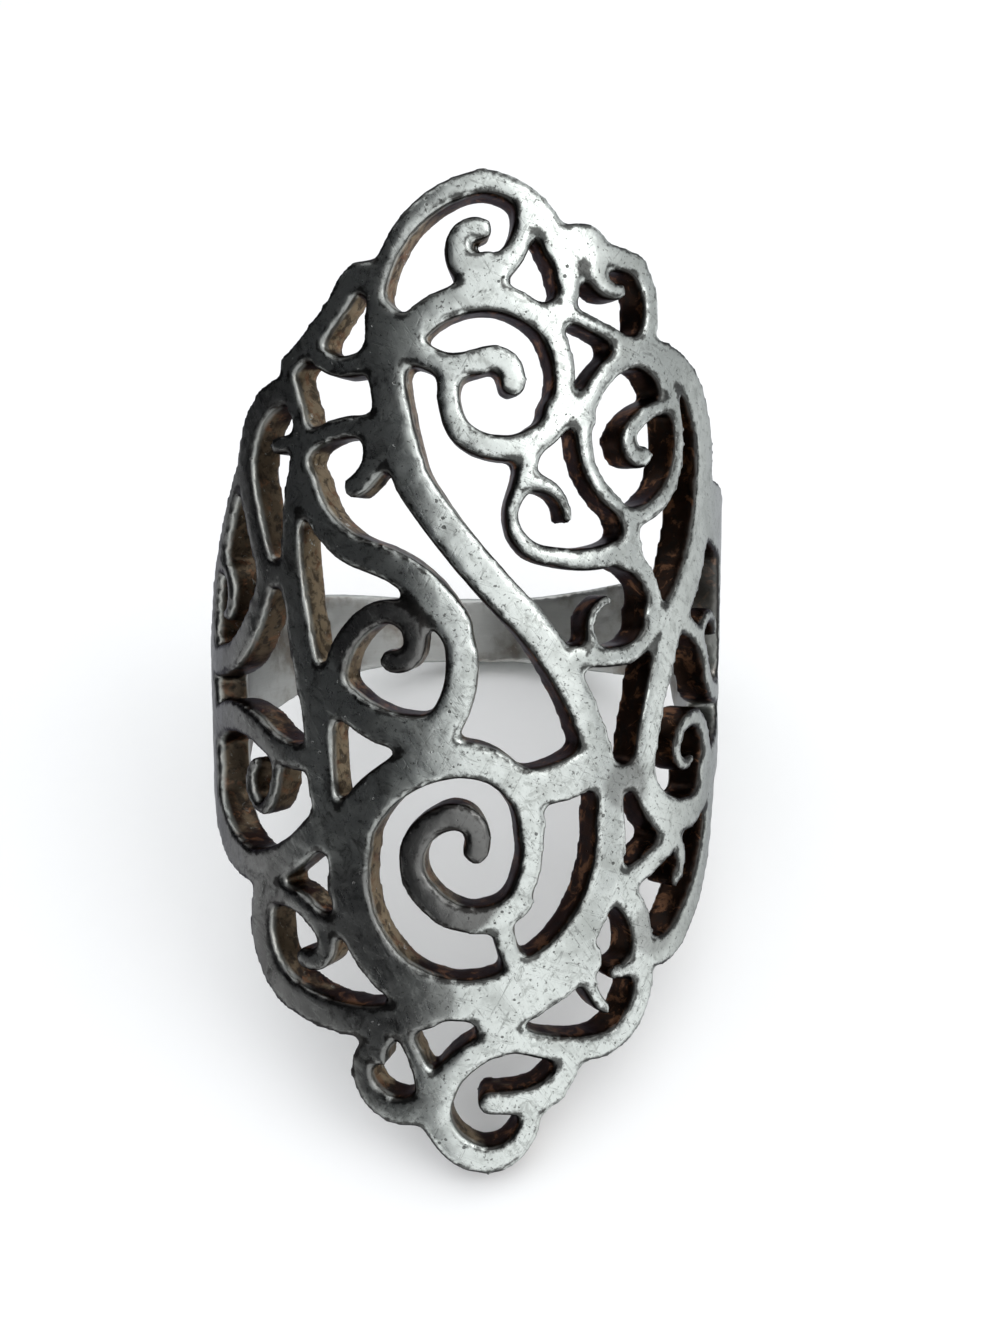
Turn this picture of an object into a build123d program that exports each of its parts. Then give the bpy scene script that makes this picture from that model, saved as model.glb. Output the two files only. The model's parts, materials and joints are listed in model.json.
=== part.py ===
"""Openwork saddle ring, cast in silver.

A tall shield of scrolls, pierced through, curves round the front of a plain band.
The casting is drawn flat, as strokes on the unrolled outer face, and then wrapped
round the finger: every wall of a gap points at the finger axis.
It is modelled with the finger axis upright and then laid down as it rests, on the
tail of the shield and the lower edge of the shank.
"""
import os
from collections import namedtuple
from math import atan2, ceil, cos, degrees, dist, hypot, pi, sin, tan

from build123d import *

os.makedirs("parts", exist_ok=True)

# Driving dimensions, in millimetres
finger_bore = 18.3
wall = 1.35
shield_length = 33.8
shield_drop = 0.7
shank_side_width = 5.6
shank_back_width = 3.1
# Degrees by which its right side lies lower when it is put down
resting_roll = 5.5

# Sizes that follow
outer_radius = finger_bore / 2 + wall
half_turn = pi * outer_radius
grid = shield_length / 100
shank_height = shield_drop / grid
seam = half_turn / grid
side_width = shank_side_width / grid
back_width = shank_back_width / grid

# A stroke is a ribbon of metal along a chain of arcs on the unrolled outer face.
# Lengths are hundredths of the shield's length. Across runs from the middle of the
# shield to the right, up from its middle to the crown. A path names the start of the
# stroke and then a point on each arc and the end of that arc. The width changes evenly
# from the first to the last.
Stroke = namedtuple("Stroke", "name first_width last_width path")

CROWN = [
    Stroke("arch", 1.9, 2.6, [(-9.2, 37.0), (-6.5, 44.3), (1.5, 49.1), (7.1, 46.9), (10.1, 40.5)]),
    Stroke("heel", 1.8, 2.8, [(5.7, 46.8), (5.1, 43.0), (2.1, 40.4)]),
    Stroke("curl", 3.0, 2.2, [(2.2, 41.2), (-0.8, 43.3), (1.6, 44.7)]),
    Stroke("web", 2.2, 2.2, [(6.4, 46.2), (7.4, 45.6), (8.6, 44.7)]),
    Stroke("leg", 3.2, 2.2, [(9.0, 43.4), (10.4, 40.5), (9.7, 36.8)]),
    Stroke("bump", 2.8, 2.4, [(10.2, 43.6), (12.2, 44.6), (14.0, 43.4)]),
    Stroke("wing", 2.6, 2.4, [(9.5, 43.2), (14.2, 43.1), (18.4, 42.6), (20.3, 39.8), (20.1, 35.6)]),
    Stroke("tongue", 3.0, 1.7, [(13.8, 43.0), (14.2, 40.2), (16.4, 39.8)]),
    Stroke("sill", 1.5, 1.8, [(8.6, 37.6), (13.2, 36.2), (18.5, 34.3)]),
    Stroke("left lobe", 3.4, 2.5, [(-9.4, 40.3), (-11.4, 40.2), (-12.7, 38.6)]),
    Stroke("lobe stem", 2.5, 2.3, [(-12.7, 38.6), (-15.6, 35.6), (-19.4, 32.6)]),
    Stroke("lobe sill", 2.0, 2.4, [(-15.8, 33.4), (-12.6, 32.0), (-9.0, 33.3)]),
]

EYE = [
    Stroke("root", 2.6, 2.4, [(-6.5, 33.5), (-4.8, 33.0), (-2.6, 32.0)]),
    Stroke("over", 3.2, 2.3, [(-6.2, 34.3), (0.8, 38.3), (8.2, 35.8), (10.0, 30.4), (8.4, 26.0)]),
    Stroke("under", 2.4, 2.6, [
        (-1.4, 31.5), (-1.7, 28.3), (-0.6, 25.5), (2.6, 24.0), (6.6, 24.6), (9.0, 26.2), (10.0, 28.3)]),
    Stroke("curl", 2.5, 2.8, [(-2.4, 31.9), (-0.4, 31.9), (1.6, 32.3), (3.9, 32.2), (4.7, 30.3)]),
    Stroke("knot", 3.0, 3.0, [(9.2, 27.6), (10.8, 28.1), (12.2, 27.2)]),
]

HOOP = [
    Stroke("left", 2.4, 1.8, [(17.6, 33.4), (12.2, 26.3), (16.4, 18.4)]),
    Stroke("right", 2.0, 2.2, [(23.2, 31.0), (25.5, 24.6), (17.5, 17.3)]),
    Stroke("curl", 1.7, 2.3, [(23.4, 28.9), (19.5, 27.6), (17.6, 25.6), (18.1, 23.9), (19.9, 23.6)]),
    Stroke("top", 3.2, 3.6, [(17.0, 33.7), (20.0, 33.9), (23.2, 31.8)]),
]

RIGHT_STEM = [
    Stroke("top", 3.0, 5.6, [(20.5, 34.2), (28.4, 30.9), (31.8, 23.0)]),
    Stroke("middle", 5.6, 4.6, [(31.8, 23.0), (30.0, 14.4), (25.0, 6.8)]),
    Stroke("low", 4.2, 3.5, [(25.1, 6.8), (22.2, -0.8), (20.3, -9.0)]),
    Stroke("knot", 3.2, 3.2, [(21.4, 7.2), (22.8, 6.6), (24.4, 6.0)]),
    Stroke("low knot", 3.2, 3.2, [(15.6, -9.6), (18.0, -9.7), (20.2, -9.6)]),
]

VINE = [
    Stroke("main", 4.0, 3.5, [
        (-8.3, 36.0), (-7.5, 28.0), (-5.5, 20.8), (-0.7, 14.4), (5.7, 7.6), (11.2, 0.0), (14.6, -8.0)]),
    Stroke("top branch", 1.9, 2.6, [(-17.8, 24.0), (-13.5, 26.0), (-8.0, 25.5)]),
    Stroke("hook", 2.8, 2.2, [(-9.2, 24.6), (-10.0, 21.6), (-11.7, 20.2)]),
    Stroke("low branch", 2.8, 3.8, [(-17.4, 21.0), (-15.2, 16.6), (-9.5, 13.2), (-4.4, 10.4), (-1.2, 6.4)]),
    Stroke("left top", 2.4, 2.8, [(-17.4, 25.5), (-19.2, 18.5), (-19.5, 11.5)]),
    Stroke("left middle", 3.2, 3.8, [(-19.5, 11.5), (-18.3, 4.5), (-16.2, -3.5)]),
    Stroke("left low", 3.8, 3.4, [(-16.2, -3.5), (-16.0, -9.2), (-14.8, -16.0)]),
]

MIDDLE_SCROLL = [
    Stroke("band", 3.2, 3.8, [(-1.2, 6.4), (-0.5, 1.4), (-3.2, -4.4)]),
    Stroke("scroll", 2.6, 2.4, [
        (-13.9, -2.0), (-13.5, 3.5), (-9.6, 7.6), (-5.9, 6.9), (-5.3, 4.2), (-6.2, 3.1), (-7.8, 3.0)]),
    Stroke("under", 3.4, 4.0, [(-15.0, 0.8), (-10.8, -2.8), (-4.0, -4.3)]),
]

RIGHT_SCROLL = [
    Stroke("neck", 2.4, 1.4, [(6.9, 25.0), (5.9, 21.4), (4.5, 18.0)]),
    Stroke("sill", 1.4, 2.8, [(4.5, 18.0), (5.2, 15.3), (8.9, 13.4), (13.0, 13.1), (18.0, 14.4)]),
    Stroke("curl", 2.0, 1.1, [(5.7, 20.5), (8.9, 20.0), (10.4, 17.1)]),
    Stroke("knot", 2.0, 2.6, [(17.3, 17.6), (18.3, 15.6), (18.6, 13.0)]),
    Stroke("small ring", 2.4, 2.2, [(17.4, 13.0), (21.7, 8.0), (16.5, 3.1), (14.0, 3.1), (11.5, 3.4)]),
    Stroke("small curl", 1.3, 1.1, [(13.6, 4.4), (13.1, 6.9), (15.2, 9.0)]),
]

GREAT_RING = [
    Stroke("over", 4.8, 3.0, [(-12.7, -15.5), (-8.4, -9.6), (-1.5, -6.9), (4.2, -8.7), (6.7, -15.0)]),
    Stroke("fall", 2.6, 2.4, [(6.7, -15.0), (6.3, -19.0), (3.6, -23.4), (4.5, -27.2), (6.5, -30.5)]),
    Stroke("under", 4.1, 5.0, [
        (15.7, -14.0), (14.0, -22.8), (6.8, -29.7), (-1.0, -31.8), (-8.2, -29.2), (-12.1, -23.5), (-12.5, -16.0)]),
    Stroke("foot", 3.8, 3.6, [(2.5, -34.0), (8.6, -31.2), (13.2, -28.6)]),
    Stroke("side", 3.5, 3.7, [(14.4, -7.5), (15.5, -10.5), (15.7, -14.5)]),
    Stroke("bridge", 3.8, 4.8, [(5.4, -9.8), (9.2, -9.6), (13.5, -8.0)]),
    Stroke("curl", 2.9, 2.7, [
        (5.6, -21.6), (0.3, -23.4), (-4.3, -20.9), (-5.7, -16.3), (-2.7, -13.1), (0.6, -13.5), (0.9, -16.3)]),
]

LEFT_LEAVES = [
    Stroke("loop right", 1.8, 2.0, [(-17.8, 24.0), (-18.1, 27.2), (-19.3, 30.4)]),
    Stroke("loop left", 3.0, 2.8, [(-19.6, 30.3), (-25.0, 27.5), (-26.9, 22.4), (-25.4, 16.6), (-23.3, 11.5)]),
    Stroke("stub", 2.0, 1.8, [(-17.8, 24.6), (-19.6, 24.8), (-21.4, 24.6)]),
    Stroke("rim", 1.8, 2.4, [(-27.8, 22.6), (-31.5, 17.2), (-35.2, 11.4)]),
    Stroke("low rim", 2.4, 3.2, [(-35.2, 11.4), (-37.4, 7.0), (-38.6, 2.5)]),
    Stroke("hook", 1.8, 1.5, [(-35.6, 11.6), (-31.2, 10.8), (-32.6, 6.8)]),
    Stroke("cross", 3.0, 3.0, [(-23.7, 11.6), (-22.0, 11.5), (-19.8, 11.4)]),
    Stroke("strand", 2.4, 4.0, [(-23.4, 12.0), (-25.6, 7.2), (-30.5, 2.7), (-35.0, 1.6), (-42.0, 1.6)]),
    Stroke("low top", 2.8, 4.0, [(-16.5, -7.6), (-21.0, -7.2), (-25.5, -5.3), (-31.0, -4.3), (-39.0, -7.2)]),
    Stroke("low under", 3.2, 4.8, [
        (-15.4, -13.0), (-20.0, -17.8), (-27.0, -20.5), (-34.5, -18.4), (-40.5, -13.0)]),
    Stroke("low curl", 1.3, 1.3, [
        (-22.9, -6.8), (-22.7, -10.6), (-24.6, -13.8), (-27.4, -11.9), (-26.2, -8.8)]),
]

TAIL = [
    Stroke("left stem", 2.6, 2.4, [(-22.5, -19.5), (-18.5, -16.6), (-15.4, -12.5)]),
    Stroke("left outer", 3.4, 4.0, [
        (-4.0, -33.1), (-14.0, -34.6), (-21.0, -33.1), (-25.2, -28.6), (-24.4, -22.0)]),
    Stroke("left curl", 2.6, 2.3, [
        (-24.5, -23.2), (-19.5, -23.0), (-16.2, -25.4), (-15.9, -28.1), (-18.6, -28.9)]),
    Stroke("left knot", 1.6, 1.8, [(-17.4, -24.2), (-15.2, -24.6), (-13.0, -25.6)]),
    Stroke("bud stem", 1.5, 2.4, [(-7.7, -34.2), (-5.7, -37.6), (-4.1, -42.8)]),
    Stroke("bud", 3.2, 2.0, [(-4.6, -43.2), (-9.5, -43.2), (-11.5, -40.2), (-11.0, -38.0), (-9.0, -36.6)]),
    Stroke("bud tip", 1.8, 1.8, [(-10.8, -37.4), (-10.0, -37.8), (-9.4, -38.4)]),
    Stroke("stem", 2.8, 3.4, [(4.0, -36.4), (-1.6, -39.4), (-3.5, -44.0)]),
    Stroke("loop", 3.4, 2.4, [(-3.5, -44.0), (-1.6, -47.3), (2.2, -48.9), (5.8, -47.0), (6.6, -43.5)]),
    Stroke("hook", 3.0, 2.6, [(9.2, -42.2), (5.4, -42.8), (2.3, -42.7)]),
    Stroke("lobe", 2.8, 3.2, [(11.5, -38.2), (10.0, -41.0), (7.0, -43.0)]),
]

RIGHT_LEAVES = [
    Stroke("wave", 3.2, 2.6, [(20.1, -29.0), (20.0, -34.6), (15.2, -38.1), (9.5, -37.6), (3.5, -35.4)]),
    Stroke("wave tongue", 1.9, 1.3, [(13.3, -29.6), (13.9, -32.4), (15.5, -34.3)]),
    Stroke("wave sill", 1.6, 2.6, [(16.3, -30.4), (18.4, -30.4), (20.6, -29.9)]),
    Stroke("pear", 3.2, 3.4, [(16.0, -21.2), (19.5, -24.5), (20.3, -30.0)]),
    Stroke("strut", 2.6, 2.6, [(19.6, -9.6), (21.4, -13.2), (25.0, -16.6)]),
    Stroke("strut sill", 2.8, 3.0, [(16.5, -21.4), (20.6, -19.8), (25.6, -17.3)]),
    Stroke("snail low", 3.0, 4.0, [(20.4, -9.0), (22.8, -13.2), (28.0, -15.1)]),
    Stroke("snail", 4.0, 1.8, [(28.0, -15.1), (33.9, -11.6), (32.8, -6.2), (29.4, -4.5), (26.4, -6.2)]),
    Stroke("snail curl", 1.8, 1.5, [(26.4, -6.2), (26.4, -8.8), (29.2, -9.2)]),
    Stroke("hook", 2.4, 1.7, [(24.6, -17.4), (27.2, -19.4), (26.0, -22.2)]),
    Stroke("outer", 4.2, 3.4, [(36.4, -12.3), (33.2, -21.7), (26.6, -28.5), (23.5, -29.5), (20.5, -28.8)]),
]

SHOULDERS = [
    Stroke("left rim", 3.2, 9.0, [(-37.6, 5.0), (-42.0, 1.0), (-48.0, -2.0)]),
    Stroke("left", 9.0, 12.0, [(-41.5, -3.5), (-46.0, -3.6), (-51.0, -3.0)]),
    Stroke("left heel", 10.6, 9.0, [(-42.0, -10.8), (-47.5, -7.4), (-53.0, -3.5)]),
    Stroke("fork", 2.4, 2.2, [(25.6, 6.2), (30.3, 4.7), (33.1, 2.0)]),
    Stroke("fork low", 2.2, 3.6, [(33.1, 2.0), (34.4, -0.7), (37.0, -2.3), (41.0, -2.8), (48.0, -2.0)]),
    Stroke("fork curl", 1.9, 1.5, [(31.6, 4.6), (35.2, 6.5), (37.3, 4.8)]),
    Stroke("right top", 3.0, 4.0, [(33.2, 20.4), (39.0, 19.8), (47.0, 14.6)]),
    Stroke("right", 4.4, 6.0, [(31.8, 17.4), (39.0, 15.6), (48.0, 11.0)]),
    Stroke("right back", 6.0, 5.0, [(42.2, 13.6), (42.0, 10.8), (42.8, 8.4)]),
    Stroke("right heel", 4.4, 8.0, [(33.4, -11.0), (41.0, -9.8), (52.0, -2.5)]),
]

# The shank closes the band behind: each side narrows from its shoulder to the back, and
# the level back crosses the seam opposite the shield.
shoulder = 50.0
back_start = seam - 8.0
SHANK = [
    Stroke("left", side_width, back_width, [
        (-shoulder, -2.0), (-(shoulder + back_start) / 2, shank_height - 0.8), (-back_start, shank_height)]),
    Stroke("right", side_width, back_width, [
        (shoulder, 5.0), ((shoulder + back_start) / 2, shank_height + 0.8), (back_start, shank_height)]),
    Stroke("back left", back_width, back_width, [
        (-back_start, shank_height), (-seam, shank_height), (-seam - 8.0, shank_height)]),
    Stroke("back right", back_width, back_width, [
        (back_start, shank_height), (seam, shank_height), (seam + 8.0, shank_height)]),
]

MOTIFS = [
    CROWN, EYE, HOOP, RIGHT_STEM, VINE, MIDDLE_SCROLL, RIGHT_SCROLL,
    GREAT_RING, LEFT_LEAVES, TAIL, RIGHT_LEAVES, SHOULDERS, SHANK,
]

# Edges of the flat drawing shorter than this run into the next one, and longer edges
# are cut with several arcs
shortest_edge = 0.3
longest_side = 8.0
# Reach of the cutting tools, from just inside the bore to clear of the outer face
tool_start = 0.42 * finger_bore
tool_end = outer_radius + wall
# The outside of the drawing is cut away in strips round the band
strips = 10
strip_width = 2 * seam / strips
tool_height = 60.0


def turn_of(start, through, end):
    """Cross product that is positive where three points turn left and 0 on a line."""
    return (through[0] - start[0]) * (end[1] - start[1]) - (through[1] - start[1]) * (end[0] - start[0])


def is_straight(start, through, end):
    """Whether three points lie on a line."""
    return abs(turn_of(start, through, end)) < 1e-6 * dist(start, end) ** 2


def curve(start, through, end):
    """Arc through three points, or the line that they lie on."""
    if is_straight(start, through, end):
        Line(start, end)
    else:
        ThreePointArc(start, through, end)


def arc_normals(start, through, end):
    """Unit normals, all on the left of travel, at three points of an arc or a line."""
    chord = (end[0] - start[0], end[1] - start[1])
    leg = (through[0] - start[0], through[1] - start[1])
    span, rise = hypot(*chord), hypot(*leg)
    if is_straight(start, through, end):
        return [(-chord[1] / span, chord[0] / span)] * 3
    cross = turn_of(start, through, end)
    centre = (
        start[0] + (chord[1] * rise ** 2 - leg[1] * span ** 2) / (2 * cross),
        start[1] + (leg[0] * span ** 2 - chord[0] * rise ** 2) / (2 * cross),
    )
    reach = dist(start, centre) * (1 if cross > 0 else -1)
    return [
        ((centre[0] - point[0]) / reach, (centre[1] - point[1]) / reach)
        for point in (start, through, end)
    ]


def beside(point, normal, reach):
    """The point moved along a normal."""
    return (point[0] + normal[0] * reach, point[1] + normal[1] * reach)


def ribbon_sides(stroke):
    """Left and right edge of a stroke, each as a list of three-point arcs."""
    arcs = [stroke.path[i:i + 3] for i in range(0, len(stroke.path) - 2, 2)]
    normals = [arc_normals(*arc) for arc in arcs]
    lengths = [dist(a, b) + dist(b, c) for a, b, c in arcs]
    left, right, run = [], [], 0.0
    for i, (arc, normal, length) in enumerate(zip(arcs, normals, lengths)):
        normal = list(normal)
        if i > 0:
            normal[0] = mean_normal(normals[i - 1][2], normal[0])
        if i < len(arcs) - 1:
            normal[2] = mean_normal(normal[2], normals[i + 1][0])
        stations = (run, run + dist(arc[0], arc[1]), run + length)
        run += length
        change = (stroke.last_width - stroke.first_width) / sum(lengths)
        half = [(stroke.first_width + change * s) / 2 for s in stations]
        left.append([beside(p, n, h) for p, n, h in zip(arc, normal, half)])
        right.append([beside(p, n, -h) for p, n, h in zip(arc, normal, half)])
    return left, right


def mean_normal(one, other):
    """Unit normal halfway between two."""
    total = (one[0] + other[0], one[1] + other[1])
    return (total[0] / hypot(*total), total[1] / hypot(*total))


def cap(one, other):
    """Outermost point of the round end that goes from one corner to the other."""
    middle = ((one[0] + other[0]) / 2, (one[1] + other[1]) / 2)
    return (middle[0] - (other[1] - one[1]) / 2, middle[1] + (other[0] - one[0]) / 2)


def ribbon(stroke):
    """Flat face of one stroke, with round ends."""
    left_side, right_side = ribbon_sides(stroke)
    first_left, last_left = left_side[0][0], left_side[-1][2]
    first_right, last_right = right_side[0][0], right_side[-1][2]
    with BuildSketch() as sheet:
        with BuildLine():
            for side_arc in left_side:
                curve(*side_arc)
            ThreePointArc(last_left, cap(last_left, last_right), last_right)
            for side_arc in reversed(right_side):
                curve(*reversed(side_arc))
            ThreePointArc(first_right, cap(first_right, first_left), first_left)
        make_face()
    return sheet.face()


# Flat drawing: all strokes as one sheet, in hundredths of the shield's length
ribbons = [ribbon(stroke) for motif in MOTIFS for stroke in motif]
with BuildSketch() as drawing:
    add(ribbons)

# What the drawing leaves open: the gaps inside it, and its outside in strips
with BuildSketch() as outside:
    Rectangle(2 * seam, 2 * tool_height)
    add(drawing.sketch, mode=Mode.SUBTRACT)
*gaps, above, below = outside.faces().sort_by(SortBy.AREA)
surrounds = []
for edge_face in (above, below):
    for step in range(strips):
        with BuildSketch() as strip:
            add(edge_face)
            with Locations(((step + 0.5) * strip_width - seam, 0)):
                Rectangle(strip_width, 2 * tool_height, mode=Mode.INTERSECT)
        surrounds.extend(strip.faces())


def shared_corner(one, other):
    """End point of the second edge that lies on the first."""
    ends = (other @ 0, other @ 1)
    return min(ends, key=lambda end: min((end - (one @ 0)).length, (end - (one @ 1)).length))


def boundary(face):
    """Sides of a face as (start, through, end), without its shortest edges.

    A straight edge keeps its place and the arc beside it is stretched to meet it.
    """
    edges = face.outer_wire().order_edges()
    starts = [shared_corner(before, edge) for before, edge in zip(edges[-1:] + edges[:-1], edges)]
    whole = list(zip(starts, edges, starts[1:] + starts[:1]))
    kept = [side for side in whole if side[1].length > shortest_edge]
    joints = [
        end if edge.geom_type == GeomType.LINE else next_start
        for (_, edge, end), (next_start, _, _) in zip(kept, kept[1:] + kept[:1])
    ]
    sides = []
    for (own_start, edge, _), start, end in zip(kept, joints[-1:] + joints[:-1], joints):
        forward = (own_start - (edge @ 0)).length < (own_start - (edge @ 1)).length
        pieces = 1 if edge.geom_type == GeomType.LINE else ceil(edge.length / longest_side)
        stations = [i / (2 * pieces) for i in range(2 * pieces + 1)]
        points = [edge @ (s if forward else 1 - s) for s in stations]
        points[0], points[-1] = start, end
        sides += [points[i:i + 3] for i in range(0, 2 * pieces, 2)]
    return sides


def radial_tool(face):
    """Solid that cuts one face of the drawing through the wall, its sides all radial."""
    middle = face.bounding_box().center().X * grid / outer_radius
    outward = Vector(sin(middle), -cos(middle), 0)
    along = Vector(cos(middle), sin(middle), 0)

    def flatten(point, reach):
        angle = point.X * grid / outer_radius - middle
        return (reach * tan(angle), point.Y * grid - shield_drop)

    with BuildPart() as tool:
        for reach in (tool_start, tool_end):
            with BuildSketch(Plane(origin=outward * reach, x_dir=along, z_dir=outward)):
                with BuildLine():
                    for side in boundary(face):
                        curve(*(flatten(point, reach) for point in side))
                make_face()
        loft(ruled=True, clean=False)
    return tool.part


tools = [radial_tool(face) for face in gaps + surrounds]

# The casting, with the finger axis along Z and the shield in front, towards -Y
with BuildPart() as casting:
    with BuildSketch():
        Circle(outer_radius)
        Circle(finger_bore / 2, mode=Mode.SUBTRACT)
    extrude(amount=0.52 * shield_length + shield_drop, both=True)
    add(tools, mode=Mode.SUBTRACT)

# At rest it leans back on two points: the inner edge of the tail in front and the outer
# lower edge of the shank behind. The fuller side sinks a little.
tail_depth = shield_drop - grid * drawing.sketch.bounding_box().min.Y
lean = degrees(atan2(tail_depth - shank_back_width / 2, outer_radius + finger_bore / 2))

with BuildPart() as leaning:
    add(casting.part, rotation=(-lean, 0, 0))
with BuildPart() as settled:
    add(leaning.part, rotation=(0, resting_roll, 0))

# The origin is below the middle of the settled casting, on the surface it rests on
skin, _ = settled.part.tessellate(0.01)
middle_x = (max(point.X for point in skin) + min(point.X for point in skin)) / 2
middle_y = (max(point.Y for point in skin) + min(point.Y for point in skin)) / 2
lowest = min(point.Z for point in skin)

with BuildPart() as filigree_ring:
    with Locations((-middle_x, -middle_y, -lowest)):
        add(settled.part)

filigree_ring.part.label = "filigree_ring"
export_step(filigree_ring.part, "parts/filigree_ring.step")
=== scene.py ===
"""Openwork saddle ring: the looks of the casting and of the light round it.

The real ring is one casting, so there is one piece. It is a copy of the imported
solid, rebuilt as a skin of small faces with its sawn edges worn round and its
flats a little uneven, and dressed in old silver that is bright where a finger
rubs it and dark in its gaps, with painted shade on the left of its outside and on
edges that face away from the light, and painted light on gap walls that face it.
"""

import json
import logging
from dataclasses import dataclass, field
from enum import Enum
from functools import reduce
from math import cos, degrees, radians, sin

import bmesh
import bpy
from mathutils import Matrix, Vector
from mathutils.kdtree import KDTree
from mathutils.noise import noise as wave


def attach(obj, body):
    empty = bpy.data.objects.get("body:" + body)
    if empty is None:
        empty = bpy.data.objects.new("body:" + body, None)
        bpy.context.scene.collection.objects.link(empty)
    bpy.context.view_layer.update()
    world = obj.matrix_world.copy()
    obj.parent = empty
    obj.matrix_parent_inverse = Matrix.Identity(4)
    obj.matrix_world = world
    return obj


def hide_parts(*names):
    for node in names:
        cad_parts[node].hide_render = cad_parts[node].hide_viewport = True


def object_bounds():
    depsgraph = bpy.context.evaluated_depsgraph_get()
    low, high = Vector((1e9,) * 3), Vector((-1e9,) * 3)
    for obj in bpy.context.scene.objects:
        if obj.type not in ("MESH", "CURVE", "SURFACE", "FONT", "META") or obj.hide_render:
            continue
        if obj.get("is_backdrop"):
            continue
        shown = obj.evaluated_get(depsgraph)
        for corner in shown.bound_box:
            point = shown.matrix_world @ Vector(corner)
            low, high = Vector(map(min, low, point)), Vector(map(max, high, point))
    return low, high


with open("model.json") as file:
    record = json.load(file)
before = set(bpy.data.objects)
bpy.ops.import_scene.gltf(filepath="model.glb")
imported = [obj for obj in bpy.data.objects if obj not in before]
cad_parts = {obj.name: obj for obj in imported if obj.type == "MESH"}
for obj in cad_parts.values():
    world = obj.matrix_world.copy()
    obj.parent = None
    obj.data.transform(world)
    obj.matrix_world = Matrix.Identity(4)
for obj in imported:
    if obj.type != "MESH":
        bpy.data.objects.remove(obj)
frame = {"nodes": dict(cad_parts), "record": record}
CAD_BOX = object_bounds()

MM = 0.001
OUTER_RADIUS = 10.5  # millimetres from the finger line to the outside
NOISE_MIDDLE = 0.5
RIM_NAME = "rim"

Colour = tuple[float, float, float]
Socket = bpy.types.NodeSocket

log = logging.getLogger("saddle_ring")


@dataclass(frozen=True)
class Step:
    """A smooth step over a reading, flat outside its two ends.

    Args:
        start: the reading where it is 0.
        whole: the reading where it has its full height, above or below start.
        height: its full height.
    """

    start: float
    whole: float
    height: float = 1.0


class Zone(Enum):
    """How far a surface faces away from the finger.

    What is in neither zone is the side of a gap.
    """

    FACE = Step(start=0.25, whole=0.70)
    BORE = Step(start=-0.45, whole=-0.85)


@dataclass(frozen=True)
class Noise:
    """Soft noise through the metal.

    Args:
        pitch: features per millimetre.
        layers: how many finer layers it has.
        rough: how strong the finer layers are.
        twist: how far it is bent out of its grid.
    """

    pitch: float
    layers: float = 5.0
    rough: float = 0.6
    twist: float = 0.0


@dataclass(frozen=True)
class Mark:
    """A kind of mark that lies where a noise is high.

    Args:
        noise: the noise.
        step: where in the noise the mark comes in, and how strong it is.
    """

    noise: Noise
    step: Step


@dataclass(frozen=True)
class Stroke:
    """The lie of marks that are long one way.

    Args:
        lean: radians that they lean from the finger's direction.
        wide: how wide one is, in millimetres.
        long: how long one is, in millimetres.
    """

    lean: float
    wide: float
    long: float


@dataclass(frozen=True)
class FingerLine:
    """The line through the finger that the ring is curved round.

    Args:
        centre: a point on the line, in metres.
        along: the direction of the line, towards the fingertip.
    """

    centre: Vector
    along: Vector

    @classmethod
    def from_record(cls, record: dict, mount: str) -> "FingerLine":
        """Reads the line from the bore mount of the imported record.

        Args:
            record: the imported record.
            mount: the name of the bore mount.

        Returns:
            The finger line.
        """
        found = next(m for m in record["mounts"] if m["name"] == mount)
        return cls(Vector(found["pos_m"]), Vector(found["axis"]).normalized())

    @property
    def right(self) -> Vector:
        """The wearer's right across the shield, square to the finger."""
        return Vector((self.along.z, 0.0, -self.along.x)).normalized()

    @property
    def front(self) -> Vector:
        """The way that the middle of the shield faces."""
        return self.right.cross(self.along).normalized()

    def axes(self) -> Matrix:
        """The turn from ring directions (right, along, front) to the row frame."""
        return Matrix((self.right, self.along, self.front)).transposed()

    def into_ring(self) -> Matrix:
        """The turn from the row frame to (right, back, along), whose last axis is the finger."""
        return Matrix((self.right, -self.front, self.along))

    def place(self, right: float, along: float, front: float) -> Vector:
        """The row frame's point, in metres, for millimetres from the ring's centre."""
        return self.centre + self.axes() @ Vector((right, along, front)) * MM

    def radius(self, point: Vector) -> float:
        """How far a point of the row frame is from the line, in metres."""
        away = point - self.centre
        return (away - away.dot(self.along) * self.along).length


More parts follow.
